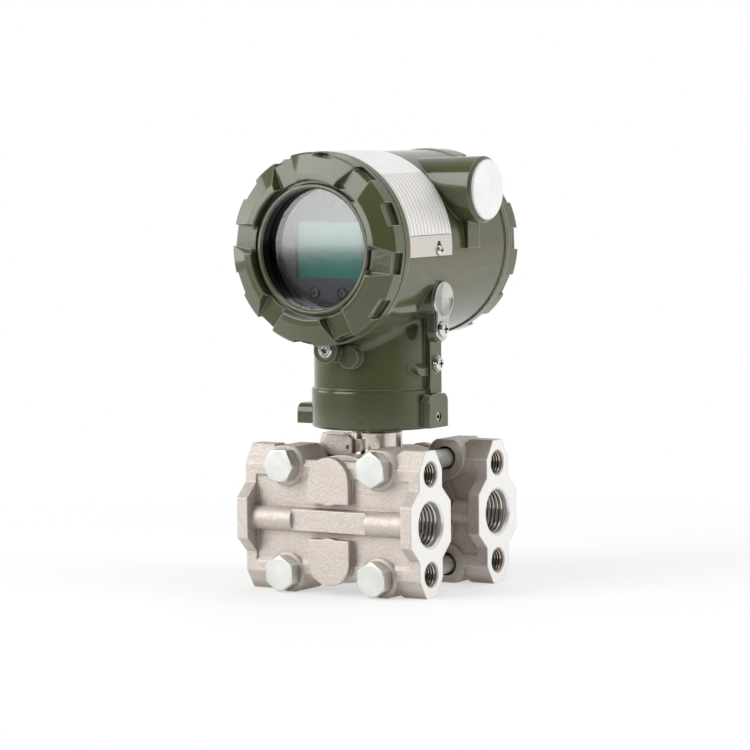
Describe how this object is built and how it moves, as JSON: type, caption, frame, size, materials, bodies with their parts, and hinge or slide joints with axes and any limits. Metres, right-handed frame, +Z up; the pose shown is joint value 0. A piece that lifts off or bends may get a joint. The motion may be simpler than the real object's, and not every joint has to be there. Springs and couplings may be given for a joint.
{
  "type": "differential pressure transmitter",
  "caption": "Pressure transmitter with a green two compartment housing, round display window and stainless process flanges bolted round a sensor capsule.",
  "frame": {"origin": "centre of the manifold bolt pattern, in the plane of the open port faces", "axes": "+X out of the open process ports, -Y out of the display window, +Z up along the neck"},
  "size_m": [0.1017, 0.1065, 0.1827],
  "materials": {
    "blasted_stainless": "bead blasted stainless casting",
    "machined_stainless": "turned and ground stainless",
    "zinc_bolt": "pale zinc plate",
    "green_paint": "deep moss green gloss enamel",
    "bright_screw": "nickel plated, bright",
    "window_glass": "clear toughened glass",
    "black_rubber": "matt",
    "white_sealant": "white fluoropolymer",
    "bezel_plastic": "dark purple grey, satin",
    "lcd": "teal display film",
    "board_green": "solder resist",
    "post_brass": "plain",
    "black_plastic": "moulded",
    "white_plastic": "moulded, smooth",
    "nameplate_steel": "bright rolled sheet, ruled"
  },
  "bodies": {
    "pressure_body": {"capsule_body": "machined_stainless", "sensor_connector": "black_plastic", "orientation_plate": "machined_stainless", "spigot_seal": "black_rubber", "flange_bolts": "zinc_bolt", "flange_nuts": "zinc_bolt", "front_flange": "blasted_stainless", "rear_flange": "blasted_stainless", "front_gasket": "white_sealant", "rear_gasket": "white_sealant", "front_diaphragm": "machined_stainless", "rear_diaphragm": "machined_stainless", "front_port_plug": "machined_stainless", "rear_port_plug": "machined_stainless"},
    "front_vent": {"front_vent_screw": "bright_screw"},
    "rear_vent": {"rear_vent_screw": "bright_screw"},
    "housing": {"housing": "green_paint", "display_bezel": "bezel_plastic", "lcd_panel": "lcd", "display_screws": "bezel_plastic", "display_board": "board_green", "amplifier_board": "board_green", "board_posts": "post_brass", "terminal_block": "black_plastic", "terminal_screws": "bright_screw", "nameplate": "nameplate_steel", "nameplate_screws": "bright_screw", "zero_cover_screw": "bright_screw", "ground_screw": "bright_screw", "ground_washer": "bright_screw", "swivel_set_screws": "bright_screw", "front_lock_screw": "bright_screw", "rear_lock_screw": "bright_screw", "conduit_plug": "machined_stainless"},
    "front_seal": {"front_cover_seal": "black_rubber"},
    "front_cover": {"front_cover": "green_paint", "window_glass": "window_glass", "glass_gasket": "black_rubber", "glass_ring": "black_plastic"},
    "rear_seal": {"rear_cover_seal": "black_rubber"},
    "rear_cover": {"rear_cover": "green_paint"},
    "zero_cover": {"zero_cover_plate": "nameplate_steel"},
    "zero_screw": {"zero_adjust_screw": "bright_screw"},
    "conduit_cap": {"conduit_cap": "white_plastic"}
  },
  "joints": [
    {"name": "housing_swivel", "type": "hinge", "parent": "pressure_body", "child": "housing", "pos_m": [-0.0426, 0, 0.0477], "axis": [0, 0, 1], "range_deg": [-180, 180]},
    {"name": "front_cover_travel", "type": "slide", "parent": "housing", "child": "front_seal", "axis": [0, -1, 0], "range_m": [0, 0.0091]},
    {"name": "front_cover_turn", "type": "hinge", "parent": "front_seal", "child": "front_cover", "pos_m": [-0.0426, -0.0402, 0.1126], "axis": [0, -1, 0], "range_deg": [0, 2160]},
    {"name": "rear_cover_travel", "type": "slide", "parent": "housing", "child": "rear_seal", "axis": [0, 1, 0], "range_m": [0, 0.0091]},
    {"name": "rear_cover_turn", "type": "hinge", "parent": "rear_seal", "child": "rear_cover", "pos_m": [-0.0426, 0.0439, 0.1126], "axis": [0, 1, 0], "range_deg": [0, 2160]},
    {"name": "zero_cover_swing", "type": "hinge", "parent": "housing", "child": "zero_cover", "pos_m": [-0.0047, -0.00838, 0.0788], "axis": [1, 0, 0], "range_deg": [-120, 120]},
    {"name": "zero_screw_turn", "type": "hinge", "parent": "housing", "child": "zero_screw", "pos_m": [-0.0089, -0.0068, 0.0908], "axis": [1, 0, 0], "continuous": true},
    {"name": "conduit_cap_pull", "type": "slide", "parent": "housing", "child": "conduit_cap", "axis": [1, 0, 0], "range_m": [0, 0.014]},
    {"name": "front_vent_turn", "type": "hinge", "parent": "pressure_body", "child": "front_vent", "pos_m": [-0.0876, -0.027, 0], "axis": [-1, 0, 0], "range_deg": [0, 360]},
    {"name": "rear_vent_turn", "type": "hinge", "parent": "pressure_body", "child": "rear_vent", "pos_m": [-0.0876, 0.027, 0], "axis": [-1, 0, 0], "range_deg": [0, 360]}
  ],
  "couplings": [
    {"joint": "front_cover_travel", "follows": "front_cover_turn", "m_per_rad": 0.00023873},
    {"joint": "rear_cover_travel", "follows": "rear_cover_turn", "m_per_rad": 0.00023873}
  ]
}
